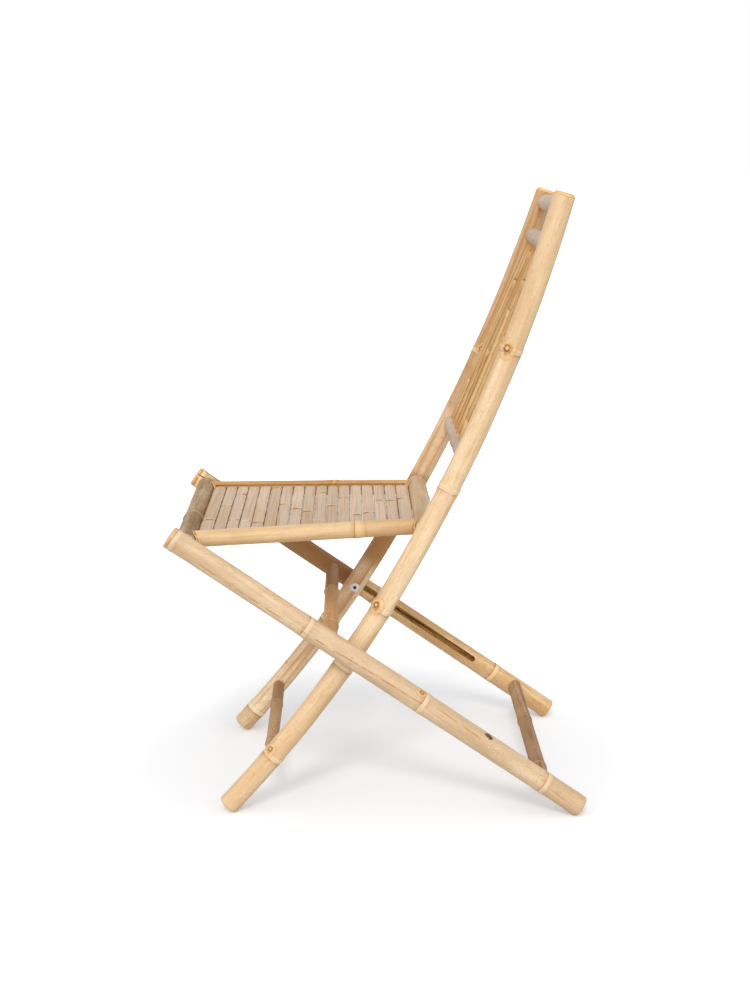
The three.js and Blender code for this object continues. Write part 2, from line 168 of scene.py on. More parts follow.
white = (1, 1, 1, 1)
room = Finish("room", bpy.data.worlds.new("room"))
bpy.context.scene.world = room.owner
seen = [room.node("ShaderNodeLightPath", {}, {}, kind)
        for kind in ("Is Camera Ray", "Is Glossy Ray", "Is Transmission Ray")]
clear = seen[0].most(seen[1]).most(seen[2])
heading = room.node("ShaderNodeTexCoord", {}, {}, "Generated")
bright_side, wall_gain, dim_wall = (0.92, -0.12, 0.37), 0.9, 0.3
facing = room.node("ShaderNodeVectorMath", {"operation": "DOT_PRODUCT"}, {0: heading, 1: bright_side}, 1)
walls = room.step(facing, -0.5, 1) * wall_gain + dim_wall
backdrop = room.node("ShaderNodeBackground", {}, {
    "Color": white, "Strength": clear + (1 - clear) * walls})
room.node("ShaderNodeOutputWorld", {}, {"Surface": backdrop})

lamp = bpy.data.lights.new("softbox", "SUN")
lamp.energy, lamp.angle = 1.0, math.radians(13)
softbox = bpy.data.objects.new("softbox", lamp)
towards_lamp = Vector((1.05, -0.1, 1))
softbox.matrix_world = towards_lamp.to_track_quat("Z", "Y").to_matrix().to_4x4()
bpy.context.collection.objects.link(softbox)


def shaped(bm, name):
    """The mesh's object, linked so that modifiers can run on it."""
    mesh = bpy.data.meshes.new(name)
    bm.to_mesh(mesh)
    bm.free()
    piece = bpy.data.objects.new(name, mesh)
    bpy.context.collection.objects.link(piece)
    return piece


floor_reach = 30
ground = bmesh.new()
bmesh.ops.create_grid(ground, x_segments=1, y_segments=1, size=floor_reach)
floor = shaped(ground, "studio_floor")
paper = Finish("white_paper")
looked_at = paper.node("ShaderNodeLightPath", {}, {}, "Is Camera Ray")
matt = paper.node("ShaderNodeBsdfDiffuse", {}, {
    "Color": paper.mix(looked_at, (0.75, 0.75, 0.75, 1), (0.96, 0.975, 1.0, 1))})
glow = paper.node("ShaderNodeEmission", {}, {"Color": white, "Strength": 1.5})
spot = paper.node("ShaderNodeTexCoord", {}, {}, "Object")
distance = paper.node("ShaderNodeVectorMath", {"operation": "LENGTH"}, {0: spot}, 1)
shaded_within, white_beyond, least_glow = 0.3, 0.9, 0.16
glowing = paper.step(distance, shaded_within, white_beyond) * (1 - least_glow) + least_glow
paper.node("ShaderNodeOutputMaterial", {}, {
    "Surface": paper.node("ShaderNodeMixShader", {}, {0: looked_at * glowing, 1: matt, 2: glow})})
floor.data.materials.append(paper.owner)

# Leg poles: two straight culms of bamboo, sanded at both ends and worn flat where they meet the floor.
# A long slot is routed into the hollow on the inner face of each, for the bolt that slides as the
# chair folds. The lines through the hinges place all that follows.
hinge = {one["name"]: one for one in frame["joints"]}
front_hinge = Vector(hinge["seat_hinge"]["pos_m"])
rear_hinge = Vector(hinge["back_hinge"]["pos_m"])
sides = {"left": 1, "right": -1}
right_and_left = (-1, 1)


def along_pole(start, direction, lateral=Vector((1, 0, 0))):
    """The place of a pole that starts at a point: Y runs along it and X stays lateral."""
    y = direction.normalized()
    z = lateral.cross(y).normalized()
    place = Matrix((y.cross(z), y, z)).transposed().to_4x4()
    place.translation = start
    return place


def revolved(outline, axis, steps, closed=False):
    """A mesh turned a full circle about an axis from the points of its outline."""
    bm = bmesh.new()
    points = [bm.verts.new(point) for point in outline]
    edges = [bm.edges.new(pair) for pair in zip(points, points[1:])]
    if closed:
        edges.append(bm.edges.new((points[-1], points[0])))
    bmesh.ops.spin(bm, geom=points + edges, cent=(0, 0, 0), axis=axis, angle=math.tau, steps=steps,
                   use_merge=True)
    bmesh.ops.remove_doubles(bm, verts=bm.verts, dist=1e-6)
    bmesh.ops.recalc_face_normals(bm, faces=bm.faces)
    return bm


def culm(length, radius, nodes, spots=(), sides=72, sanded=0.0024, head=None):
    """A straight culm along +Y with closed, sanded ends, drawn finer round its nodes and scars."""
    finer = [*nodes, *spots]
    head = head or sanded
    stations, at = [], sanded
    while at < length - head:
        stations.append(at)
        near = min((abs(at - place) for place in finer), default=1)
        at += 0.001 if near < 0.011 else 0.0028 if near < 0.02 else 0.0045

    def end(bend):
        """From the middle of the cut face out to the side, as (radius, distance from the end)."""
        face = [((radius - bend) * share, 0) for share in (0, 0.35, 0.65, 0.9)]
        arc = [math.radians(degrees) for degrees in (0, 20, 40, 55, 68, 80)]
        return face + [(radius - bend * (1 - math.sin(a)), bend * (1 - math.cos(a))) for a in arc]

    outline = [*end(sanded), *[(radius, s) for s in stations],
               *[(r, length - s) for r, s in reversed(end(head))]]
    return revolved([(r, s, 0) for r, s in outline], (0, 1, 0), sides)


def eased(share):
    """A share held between 0 and 1, with a smooth start and end."""
    share = max(0.0, min(1.0, share))
    return share * share * (3 - 2 * share)


def bell(offset):
    return math.exp(-offset ** 2)


def turn_from(start, angle):
    """The turn from one angle to another, the shorter way round."""
    return (angle - start + math.pi) % math.tau - math.pi


KNOT, BURN, GLUE = 0, 1, 2
NOWHERE = Vector((0, 0, -9))
node_reach = 0.03


def ripen(bm, radius, nodes, seed, swell=0.0008, scars=(), stains=(), tones=(), painted_shade_and_tone=()):
    """Gives a straight culm its natural shape, and notes on each point what its finish needs.

    A scar is (place along, angle round, half width, half length, kind): a knot where a branch was cut
    off, a burn mark or specks of glue. A stain is (place along, angle round, half width, half length,
    slant), a brown streak in the skin. The tones say how dark each length between two nodes is. A band
    (from, to, amount) darkens a stretch of the pole; under the seat such a band is painted shade.
    """
    skin_depth, shade_fade, most_rise = 0.0028, 0.02, 0.0007
    layers = bm.verts.layers
    grain, scar_map, stain_map = map(layers.float_vector.new, ("grain", "scar", "stain"))
    ring, ringed, tone, cut, _ = map(layers.float.new, ("ring", "ringed", "tone", "cut", "inside"))
    shift = Vector((3.1 * seed, 1.7 * seed, 0.9 * seed))
    for v in bm.verts:
        x, s, z = v.co
        out, angle = math.hypot(x, z), math.atan2(z, x)
        v[grain] = v.co + shift
        v[cut] = out <= radius - 0.0004
        gap = min((s - place for place in nodes), key=abs, default=1)
        wavy = gap + 0.0016 * noise.noise(Vector((math.cos(angle), math.sin(angle), seed + 40 * s)))
        v[ring] = max(-node_reach, min(node_reach, wavy))
        v[ringed] = abs(wavy) < node_reach
        internode = sum(s > place for place in nodes)
        v[tone] = tones[internode] if tones else max(0, 0.15 + 0.5 * noise.noise(
            Vector((seed * 0.77, internode * 1.9, 0.4))))
        # Each band darkens the tone with soft edges; under the seat this is painted shade.
        for start, end, amount in painted_shade_and_tone:
            inwards = min(s - start, end - s)
            v[tone] = max(v[tone], amount * eased((inwards + shade_fade) / (2 * shade_fade)))
        bulge = swell * (0.5 * bell(wavy / 0.0009) + bell((wavy - 0.006) / 0.0042)
                         + 0.35 * bell((gap + 0.005) / 0.005) - 0.35 * bell((wavy - 0.0019) / 0.001))
        lumps = noise.noise(Vector((x, s * 0.35, z)) * 55 + shift)
        hollows = noise.noise(Vector((seed, 5 * s, 0.3)))
        rise = bulge - 0.00052 - 0.00022 * (1 + lumps) - 0.00025 * (1 + hollows)
        v[scar_map], v[stain_map] = NOWHERE, NOWHERE
        nearest = 2
        for place, round_angle, wide, long, *kind in scars:
            offset = Vector((turn_from(round_angle, angle) * radius / wide, (s - place) / long, 0))
            if offset.length < nearest:
                nearest = offset.length
                v[scar_map] = Vector((offset.x, offset.y, kind[0] if kind else KNOT))
                if kind:
                    continue
                reach = offset.length + 0.16 * noise.noise(Vector((2.2 * offset.x, 2.2 * offset.y, seed)))
                plate = max(0.0, 1 - reach ** 4)
                knot = (offset - Vector((0.08, -0.1, 0))).length / 0.42
                dent = math.exp(-(knot / 0.8) ** 4) * (0.7 + 0.6 * noise.noise(offset * 5))
                rise += wide * (0.05 * plate - 0.07 * dent * min(1, plate * 3))
        for place, round_angle, wide, long, slant in stains:
            across = turn_from(round_angle, angle) * radius - slant * (s - place)
            offset = Vector((across / wide, (s - place) / long, 0))
            if abs(offset.y) < 1.3 and offset.length < v[stain_map].length * 2:
                v[stain_map] = offset
        rise = min(rise, swell, most_rise)
        if out > radius - skin_depth:
            v.co = Vector((x * (1 + rise / radius), s, z * (1 + rise / radius)))


def measured(marks, length):
    """A culm's marks in metres and radians, from shares of its length and degrees."""
    flaws = {kind: [(share * length, math.radians(degrees), *sizes)
                    for share, degrees, *sizes in marks.get(kind, ())] for kind in ("scars", "stains")}
    painted_shade_and_tone = [(start * length, end * length, amount) for start, end, amount in marks.get("painted_shade_and_tone", ())]
    return {**flaws, "painted_shade_and_tone": painted_shade_and_tone, "tones": marks.get("tones", ())}


def carved(bm, *tools):
    """The solid with the tools' solids cut out of it."""
    body = shaped(bm, "uncarved")
    cutters = [shaped(tool, "cutter") for tool in tools]
    for cutter in cutters:
        cut_out = body.modifiers.new("cut", "BOOLEAN")
        cut_out.operation, cut_out.solver, cut_out.object = "DIFFERENCE", "EXACT", cutter
    result = bmesh.new()
    result.from_object(body, bpy.context.evaluated_depsgraph_get())
    for spent in (body, *cutters):
        bpy.data.meshes.remove(spent.data)
    return result


def stand(bm):
    """Cuts a pole off level with the floor and closes the worn facet."""
    bmesh.ops.bisect_plane(bm, geom=[*bm.verts, *bm.edges, *bm.faces], plane_co=(0, 0, 0),
                           plane_no=(0, 0, -1), clear_outer=True)
    rim = [edge for edge in bm.edges if edge.is_boundary]
    if rim:
        bmesh.ops.holes_fill(bm, edges=rim, sides=0)


def settle(bm, name, place, material, body, kind, *nodes, painted_shade_lining=None):
    """Puts a finished mesh where it belongs, with its finish, body and the nodes that it stands for."""
    bm.transform(place)
    piece = shaped(bm, name)
    piece.data.shade_smooth()
    piece.data.set_sharp_from_angle(angle=math.radians(48))
    for finish in filter(None, (material, painted_shade_lining)):
        piece.data.materials.append(finish.owner)
    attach(piece, body)
    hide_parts(*nodes)


def bamboo(name, skin, pale, dark, deep=None, flecks=0.5, gloss=0.42, shine=0.2, ring_strength=0.8,
           mottle=0.5, streaks=0.2, band=0.0092, line=(166, 106, 56)):
    """Round bamboo: cloudy skin with long fibres and short flecks, a thin line at each node with a
    paler band above it, branch scars, brown streaks, and yellow wood where it is cut."""
    finish = Finish(name)
    skin, pale, dark, deep, line = [paint(*shade) for shade in (skin, pale, dark, deep or dark, line)]
    grain = finish.reading("grain", "Vector")
    clouds = finish.noise(grain, (70, 14, 70), 4, 0.6)
    patches = finish.noise(grain, (26, 5, 26), 3)
    fibres = finish.noise(grain, (1700, 28, 1700), 3, 0.6)
    strands = finish.noise(grain, (480, 8, 480), 2)
    spots = finish.noise(grain, (230, 80, 230), 3, 0.65)
    dashes = finish.noise(grain, (1250, 170, 1250), 2)
    bands = finish.noise(grain, (120, 4, 120), 3, 0.55)
    colour = finish.coated(
        skin,
        (finish.step(clouds, 0.36, 0.66), pale),
        (finish.step(patches, 0.44, 0.72) * mottle, dark),
        (finish.step(spots, 0.5, 0.74) * (mottle * 0.8), dark),
        (finish.step(strands, 0.5, 0.8) * 0.3, dark),
        (finish.step(bands, 0.48, 0.66) * streaks, dark),
        (finish.step(bands, 0.46, 0.34) * (streaks * 0.6), pale),
        # Darker towards deep by the tone layer: each internode's tone, and painted shade under the seat on
        # the far leg and post.
        (finish.reading("tone"), deep),
        (finish.step(dashes, 0.58, 0.72) * flecks, finish.mix(0.5, dark, paint(120, 84, 48))))
    colour = finish.shaded(colour, fibres * 0.34, 0.83)

    ring, ringed = finish.reading("ring"), finish.reading("ringed")
    patchy = ringed * finish.step(finish.noise(grain, (110, 5, 110), 2), 0.38, 0.58)
    crease = finish.step(ring.size(), 0.0012, 0.0003) * (patchy * 0.6 + ringed * 0.4)
    upper = finish.step((ring - band).size(), 0.001, 0.0002) * patchy
    above = finish.step(ring, 0.0004, 0.0016) * finish.step(ring, band + 0.001, band * 0.5) * ringed
    below = finish.step(ring, -0.0085, -0.0005) * finish.step(ring, 0.0002, -0.0004) * ringed

    scar_x, scar_y, kind = finish.parts("scar")
    knotty = finish.step(kind.size(), 0.6, 0.1)
    burnt = finish.step((kind - 1).size(), 0.4, 0.1)
    glued = finish.step(kind, 1.5, 1.9)
    ragged = finish.noise(grain, (240, 240, 240), 3, 0.65) * 0.7 - 0.35

    def oval(x, y, wide, long, rough):
        across, along = (scar_x - x) / wide, (scar_y - y) / long
        return (across * across + along * along).root() + ragged * rough

    outer = oval(0, 0, 1, 1, 0.6)
    rim = finish.step((outer - 0.95).size(), 0.13, 0.02) * (patchy * 0.5 + 0.4) * knotty
    knot = oval(0.0, 0.0, 0.5, 0.48, 0.9)
    bud = oval(0.08, 0.1, 0.22, 0.21, 0.9)
    disc = finish.step(knot, 1.2, 0.85) * knotty
    crust = finish.step((bud - 1.2).size(), 0.6, 0.15) * disc
    torn = finish.step(ragged, -0.1, 0.15)
    halo = finish.mix(finish.step(ragged, -0.08, 0.1), paint(218, 168, 108), paint(238, 196, 136))
    charred = finish.step(outer + ragged * 1.6, 1.0, 0.55)
    droplets = finish.node("ShaderNodeTexVoronoi", {}, {"Vector": grain, "Scale": 260})
    glue = finish.step(droplets, 0.3, 0.16) * finish.step(outer, 1.0, 0.8) * glued

    stain_x, stain_y, near = finish.parts("stain")
    wander = finish.noise(grain, (40, 25, 40), 3) * 2.4 - 1.2
    broken = finish.step(finish.noise(grain, (60, 30, 60), 3, 0.7), 0.38, 0.56)
    streak = finish.step((stain_x + wander).size(), 1.15, 0.35) * finish.step(stain_y.size(), 1, 0.75)
    streak = streak * broken * finish.step(near, -1, -0.1)

    ends = finish.step(finish.reading("cut"), 0.15, 0.6)
    pores = finish.node("ShaderNodeTexVoronoi", {}, {"Vector": grain, "Scale": 900})
    dots = finish.step(pores, 0.34, 0.2)
    wood = finish.mix(dots * 0.4, finish.mix(clouds, paint(238, 200, 144), paint(222, 176, 118)),
                      paint(160, 108, 60))
    sawn = finish.step((finish.reading("cut") - 0.35).size(), 0.3, 0.1)
    inside = finish.step(finish.reading("inside"), 0.2, 0.8)
    pith = finish.mix(finish.step(strands, 0.48, 0.7), paint(255, 214, 134), paint(128, 88, 44))
    pith = finish.mix(finish.step(spots, 0.56, 0.7) * 0.65, pith, paint(84, 54, 28))
    colour = finish.coated(
        colour,
        (above * 0.6, pale),
        (below * 0.3 * (patchy * 0.7 + 0.3), line),
        (upper * (0.5 * ring_strength), line),
        (crease * ring_strength, line),
        (finish.step(outer, 1.05, 0.7) * 0.65 * knotty, halo),
        (rim * 0.4, paint(206, 152, 92)),
        (disc * 0.7, finish.mix(torn, paint(176, 122, 76), paint(212, 164, 116))),
        (crust * 0.8, finish.mix(torn, paint(112, 66, 30), paint(166, 112, 60))),
        (finish.step(bud, 1.0, 0.6) * knotty * 0.7, paint(244, 204, 146)),
        (charred * burnt * 0.9, paint(58, 30, 14)),
        (glue * 0.8, paint(246, 238, 222)),
        (streak * 0.7, paint(188, 112, 52)),
        (ends, wood),
        (sawn * (finish.step(spots, 0.4, 0.6) * 0.5 + 0.3), paint(146, 94, 46)),
        (inside, pith))

    height = (fibres * 0.00008 + strands * 0.00015 + dashes * 0.00004 + spots * 0.00025 - crease * 0.0004
              - upper * 0.00015 - streak * 0.0002 - rim * 0.0003 - crust * 0.0007
              - ends * dots * 0.0002 - inside * strands * 0.0008)
    dullness = ends * 0.35 + fibres * 0.16 + spots * 0.12 + (gloss - 0.14)
    finish.surface(colour, dullness, height, shine=shine)
    return finish


near_leg_finish = bamboo("pale_bamboo", (222, 193, 157), (234, 209, 176), (188, 150, 108),
                         ring_strength=0.55)
# Its deep colour also serves as the painted shade under the seat.
far_leg_finish = bamboo("golden_bamboo", (243, 202, 148), (253, 220, 172), (190, 138, 80),
                        deep=(156, 108, 62), streaks=0.35)
bolt_reach, bolt_rise = 0.2897, 0.004
leg_radius, leg_length, leg_x, hinge_inset = 0.017, 0.713, 0.2082, 0.024
slot_width, slot_travel = 0.010, hinge["slot_slide"]["range_m"][1]
hollow_radius, hollow_room, wall_least = 0.012, 0.014, 0.0018
slot_from = hinge_inset + bolt_reach
leg_line = along_pole(front_hinge, Vector(hinge["slot_slide"]["axis"]))
crossing = leg_line @ Vector((0, bolt_reach, bolt_rise))
leg_marks = {
    "left": {
        "nodes": (0.0065, 0.321, 0.599, 0.902),
        "scars": ((0.5895, 62, 0.0085, 0.0095), (0.755, 65, 0.006, 0.0085, BURN),
                  (0.782, 18, 0.006, 0.016, GLUE)),
        "stains": ((0.115, -18, 0.0012, 0.03, 0.03), (0.2, -24, 0.0013, 0.075, 0.02),
                   (0.43, -6, 0.0014, 0.1, 0.045), (0.56, 6, 0.001, 0.035, 0.05),
                   (0.95, -2, 0.0011, 0.026, -0.08), (0.69, 30, 0.001, 0.04, -0.02)),
    },
    "right": {
        "nodes": (0.0065, 0.2, 0.5, 0.832),
        "scars": ((0.51, 200, 0.010, 0.012), (0.841, 100, 0.006, 0.007), (0.012, 30, 0.0013, 0.014, BURN),
                  (0.02, 75, 0.001, 0.01, BURN)),
        "stains": ((0.6, 78, 0.0012, 0.05, 0.02), (0.3, 150, 0.0012, 0.06, 0.02),
                   (0.9, 60, 0.0012, 0.03, -0.05)),
        # The first band is painted shade under the seat; the second darkens the leg lower down.
        "painted_shade_and_tone": ((0.04, 0.46, 0.9), (0.7, 0.76, 0.35)),
    },
}


def natural_culm(marks, length, radius, seed, tools=(), head=None, **habit):
    """A pole's culm with the nodes, scars and tones that its marks name, cut by the tools."""
    nodes = [share * length for share in marks["nodes"]]
    flaws = measured(marks, length)
    pole = culm(length, radius, nodes, [scar[0] for scar in flaws["scars"]], head=head)
    if tools:
        pole = carved(pole, *tools)
    ripen(pole, radius, nodes, seed, **flaws, **habit)
    return pole


for number, (side, outward) in enumerate(sides.items()):
    mouth = bmesh.new()
    bmesh.ops.create_circle(mouth, cap_ends=True, segments=32, radius=slot_width / 2)
    bmesh.ops.rotate(mouth, verts=mouth.verts, matrix=Matrix.Rotation(math.pi / 2, 3, "Y"))
    far_half = [v for v in mouth.verts if v.co.y > 1e-6]
    bmesh.ops.translate(mouth, verts=far_half, vec=(0, slot_travel, 0))
    depth = bmesh.ops.extrude_face_region(mouth, geom=mouth.faces[:])["geom"]
    bmesh.ops.translate(mouth, verts=[g for g in depth if isinstance(g, bmesh.types.BMVert)],
                        vec=(-outward * (leg_radius + 0.002), 0, 0))
    bmesh.ops.translate(mouth, verts=mouth.verts, vec=(0, slot_from, bolt_rise))
    bmesh.ops.recalc_face_normals(mouth, faces=mouth.faces)
    hollow = culm(slot_travel + 2 * hollow_room, hollow_radius, [], sides=40, sanded=0.004)
    bmesh.ops.translate(hollow, verts=hollow.verts, vec=(0, slot_from - hollow_room, 0))

    pole = natural_culm(leg_marks[side], leg_length, leg_radius, 1 + number, tools=(hollow, mouth))
    inside = pole.verts.layers.float["inside"]
    for v in pole.verts:
        in_hollow = math.hypot(v.co.x, v.co.z) < leg_radius - wall_least
        v[inside] = in_hollow and 0.01 < v.co.y < leg_length - 0.01
    pole.transform(leg_line @ Matrix.Translation((outward * leg_x, -hinge_inset, 0)))
    stand(pole)
    settle(pole, f"{side}_leg_pole", Matrix(), near_leg_finish if outward > 0 else far_leg_finish,
           "leg_frame", "pole", f"{side}_leg")

# Stretchers of the leg frame: two thinner, browner culms. Each end is coped round the leg and held by
# a round tenon glued into it.
upper_finish = bamboo("tan_brown_bamboo", (236, 184, 124), (246, 202, 146), (186, 130, 76),
                      deep=(146, 102, 62), flecks=0.3, gloss=0.36, shine=0.03, streaks=0.4)
rear_finish = bamboo("brown_bamboo", (188, 149, 109), (204, 167, 128), (116, 78, 46),
                     flecks=0.3, gloss=0.4, shine=0.03, streaks=0.8)
cope_bite = 0.0003


def cope(bm, place, carriers, length, torn):
    """Fits both ends of a culm along +Y to the carriers, each given as (point, direction, radius)."""
    zone = 0.02
    back = place.inverted()
    ends = []
    for index, (point, direction, radius) in enumerate(carriers):
        ends.append((back @ point, (back.to_3x3() @ direction).normalized(), radius, -1 if index else 1))
    cut = bm.verts.layers.float["cut"]
    for v in bm.verts:
        x, s, z = v.co
        for centre, line, radius, way in ends:
            # Along the culm's axis, where this point's fibre meets the carrier's surface
            start = Vector((x, 0, z)) - centre
            across = start - line * start.dot(line)
            run = Vector((0, 1, 0)) - line * line.y
            a, b, c = run.length_squared, across.dot(run), across.length_squared - radius * radius
            root = max(0.0, b * b - a * c)
            meets = (-b + way * math.sqrt(root)) / a
            inner = zone if way > 0 else length - zone
            outer = 0 if way > 0 else length
            share = (s - inner) / (outer - inner)
            if share > 0:
                v.co.y = inner + share * (meets - inner)
                v[cut] = max(v[cut], 1 - abs(v.co.y - meets) / torn)


def cross_pole(name, start, end, radius, nodes, seed, carriers, material, body, kind, swell=0.0011,
               torn=0.0018, groove=None, painted_shade_lining=None, **marks):
    """A culm between two carriers, from its right end to its left end."""
    run = end - start
    length = run.length
    place = along_pole(start, run, lateral=run.cross(crosswise).normalized())
    nodes = [share * length for share in nodes]
    flaws = measured(marks, length)
    pole = culm(length, radius, nodes, [scar[0] for scar in flaws["scars"]], sides=60, sanded=0.001)
    if groove:
        middle, size = groove
        box = bmesh.new()
        bmesh.ops.create_cube(box, size=1)
        bmesh.ops.scale(box, verts=box.verts, vec=size)
        bmesh.ops.translate(box, verts=box.verts, vec=middle)
        pole = carved(pole, box)
        # Painted shadow: faces inside the groove take the second material.
        for face in pole.faces:
            spot = face.calc_center_median()
            in_groove = all(abs(away) < extent / 2 + 1e-5 for away, extent in zip(spot - middle, size))
            if in_groove and math.hypot(spot.x, spot.z) < radius - 0.0003:
                face.material_index = 1
    ripen(pole, radius, nodes, seed, swell=swell, **flaws)
    if carriers:
        cope(pole, place, carriers, length, torn)
    settle(pole, name, place, material, body, kind, name.removesuffix("_culm"), painted_shade_lining=painted_shade_lining)


leg_axis = leg_line.to_3x3() @ Vector((0, 1, 0))
crosswise = leg_line.to_3x3() @ Vector((0, 0, 1))
leg_carriers = [(leg_line @ Vector((outward * leg_x, 0, 0)), leg_axis, leg_radius - cope_bite)
                for outward in right_and_left]
leg_stretcher_radius = 0.0118
for name, reach, rise, nodes, seed, material, marks in (
    ("upper_stretcher_culm", bolt_reach - 0.0417, 0, (0.356, 0.8), 5, upper_finish,
     {"swell": 0.0016, "scars": ((0.372, 20, 0.006, 0.008),), "tones": (0.7, 0.2, 0.3)}),
    ("rear_stretcher_culm", leg_length - hinge_inset - 0.073, 0.004, (0.42, 0.9), 6, rear_finish,
     {"tones": (0.1, 0.35, 0.2)}),
):
    ends = [leg_line @ Vector((outward * leg_x, reach, rise)) for outward in right_and_left]
    cross_pole(name, *ends, leg_stretcher_radius, nodes, seed, leg_carriers, material, "leg_frame",
               "stretcher", **marks)

# Slot nuts: a steel sleeve that slides in each leg's slot, with a flange held inside the hollow.
# Turned from bar and zinc plated.
def zinc(name, bright, dull):
    """Zinc plated steel with faint lathe marks and tarnish."""
    finish = Finish(name)
    where = finish.node("ShaderNodeTexCoord", {}, {}, "Object")
    lathe_marks = finish.noise(where, (2600, 500, 500), 2)
    tarnish = finish.noise(where, (260, 260, 260), 3)
    plate = finish.mix(finish.step(tarnish, 0.45, 0.7) * 0.5, paint(*bright), paint(*dull))
    height = lathe_marks * 0.00003 + tarnish * 0.00005
    finish.surface(plate, lathe_marks * 0.2 + tarnish * 0.15 + 0.3, height, strength=0.4, metallic=1.0)
    return finish


steel = zinc("zinc_plate", (240, 236, 232), (204, 192, 186))


def turned(outline):
    """A solid turned about X from (radius, x) points that start and end on the axis or close."""
    return revolved([(x, r, 0) for r, x in outline], (1, 0, 0), 48, closed=outline[0][0] > 0)


def rounded_edges(bm, width):
    """Breaks the sharp edges."""
    sharp = [e for e in bm.edges if e.is_manifold and e.calc_face_angle(0) > math.radians(50)]
    bmesh.ops.bevel(bm, geom=sharp, offset=width, segments=2, affect="EDGES", profile=0.5, material=-1)


fit_gap, turned_edge = 0.0003, 0.0003
flange_radius, flange_thickness, sleeve_radius = 0.0062, 0.003, slot_width / 2 - fit_gap
flange_face = math.sqrt(hollow_radius ** 2 - (bolt_rise + flange_radius) ** 2) - 0.0006
for side, outward in sides.items():
    nut = turned([(0, flange_face - flange_thickness), (flange_radius, flange_face - flange_thickness),
                  (flange_radius, flange_face), (sleeve_radius, flange_face), (sleeve_radius, leg_radius),
                  (0, leg_radius)])
    rounded_edges(nut, turned_edge)
    place = leg_line @ Matrix.Translation((outward * leg_x, bolt_reach, bolt_rise))
    if outward > 0:
        place = place @ Matrix.Rotation(math.pi, 4, "Z")
    settle(nut, f"{side}_slot_nut_turned", place, steel, "slot_nuts", "steel", f"{side}_slot_nut")

# Post poles: two culms that bend gently forward at both ends, as they grew. The cross poles are
# tenoned into them and the upper ends are sawn square and sanded round.
back_line = along_pole(crossing, rear_hinge - crossing)
hinge_to_bolt = (rear_hinge - crossing).length
post_radius, post_x, post_below, post_above, post_head = 0.0165, 0.1716, 0.302, 0.7025, 0.006
post_length = post_below + post_above
foot_sweep = 0.041


def post_point(t, top_sweep):
    """A post's centre line: its height off the hinge line at t from the bolt, and its forward normal."""
    blend = eased(t / hinge_to_bolt)
    foot_bend = foot_sweep / (post_below * (post_below + hinge_to_bolt))
    top_bend = top_sweep / (post_above * (post_above - hinge_to_bolt))
    bend = foot_bend * (1 - blend) + top_bend * blend
    return bend * t * (t - hinge_to_bolt), Vector((0, -bend * (2 * t - hinge_to_bolt), 1)).normalized()


near_post_finish = bamboo("cream_bamboo", (234, 203, 163), (244, 218, 180), (206, 162, 112),
                          ring_strength=0.6, streaks=0.3, line=(172, 116, 64))
# Its deep colour also serves as the painted shade under the seat.
far_post_finish = bamboo("pale_golden_bamboo", (252, 221, 180), (255, 234, 200), (206, 158, 106),
                         deep=(178, 126, 68), mottle=0.9, streaks=0.95, shine=0.35)
post_marks = {
    "left": {
        "sweep": 0.079, "nodes": (0.096, 0.266, 0.367, 0.565, 0.776),
        "scars": ((0.3722, 40, 0.0125, 0.0145), (0.78, 26, 0.0135, 0.0165), (0.107, 45, 0.0105, 0.0125),
                  (0.575, 190, 0.011, 0.014), (0.028, -14, 0.007, 0.012, GLUE)),
        "stains": ((0.66, 150, 0.001, 0.07, 0.02),),
        "tones": (0.3, 0.1, 0.05, 0.0, 0.1, 0.3),
    },
    "right": {
        "sweep": 0.062, "nodes": (0.031, 0.223, 0.42, 0.727),
        "scars": ((0.1285, 70, 0.004, 0.005), (0.736, 15, 0.010, 0.013), (0.229, 215, 0.011, 0.013)),
        "stains": ((0.5, 80, 0.0012, 0.08, 0.02), (0.85, 60, 0.001, 0.05, 0.02)),
        "tones": (0.4, 0.0, 0.2, 0.45, 0.6),
        # The first band is painted shade under the seat; the second darkens the post just above the lower
        # back rail.
        "painted_shade_and_tone": ((0.342, 0.52, 0.95), (0.62, 0.72, 0.7)),
    },
}
for number, (side, outward) in enumerate(sides.items()):
    marks = post_marks[side]
    pole = natural_culm(marks, post_length, post_radius, 11 + number, head=post_head, swell=0.0012)
    for v in pole.verts:
        x, s, z = v.co
        rise, forward = post_point(s - post_below, marks["sweep"])
        v.co = Vector((outward * post_x + x, s - post_below, rise)) + forward * z
    pole.transform(back_line)
    stand(pole)
    settle(pole, f"{side}_post_pole", Matrix(), near_post_finish if outward > 0 else far_post_finish,
           "back_frame", "pole", f"{side}_post")

# Rails of the back and the stretcher between the posts' feet: culms coped round the bent posts and
# tenoned into them. The three rails are weathered to a pinkish grey.
rail_finish = bamboo("weathered_bamboo", (208, 182, 162), (218, 198, 180), (176, 146, 120),
                     flecks=0.2, gloss=0.5, shine=0.1, ring_strength=0.5)
front_stretcher_finish = bamboo("olive_brown_bamboo", (194, 154, 112), (208, 171, 130), (146, 106, 68),
                                gloss=0.4, shine=0.03, streaks=0.4)
crosswise = back_line.to_3x3() @ Vector((0, 0, 1))


def on_post(outward, at, setback=0.0):
    """A point on a post's axis, or set back behind it, and the post's direction there."""
    rise, forward = post_point(at, post_marks["left" if outward > 0 else "right"]["sweep"])
    spot = Vector((outward * post_x, at, rise)) - forward * setback
    return back_line @ spot, back_line.to_3x3() @ Vector((0, forward.z, -forward.y))


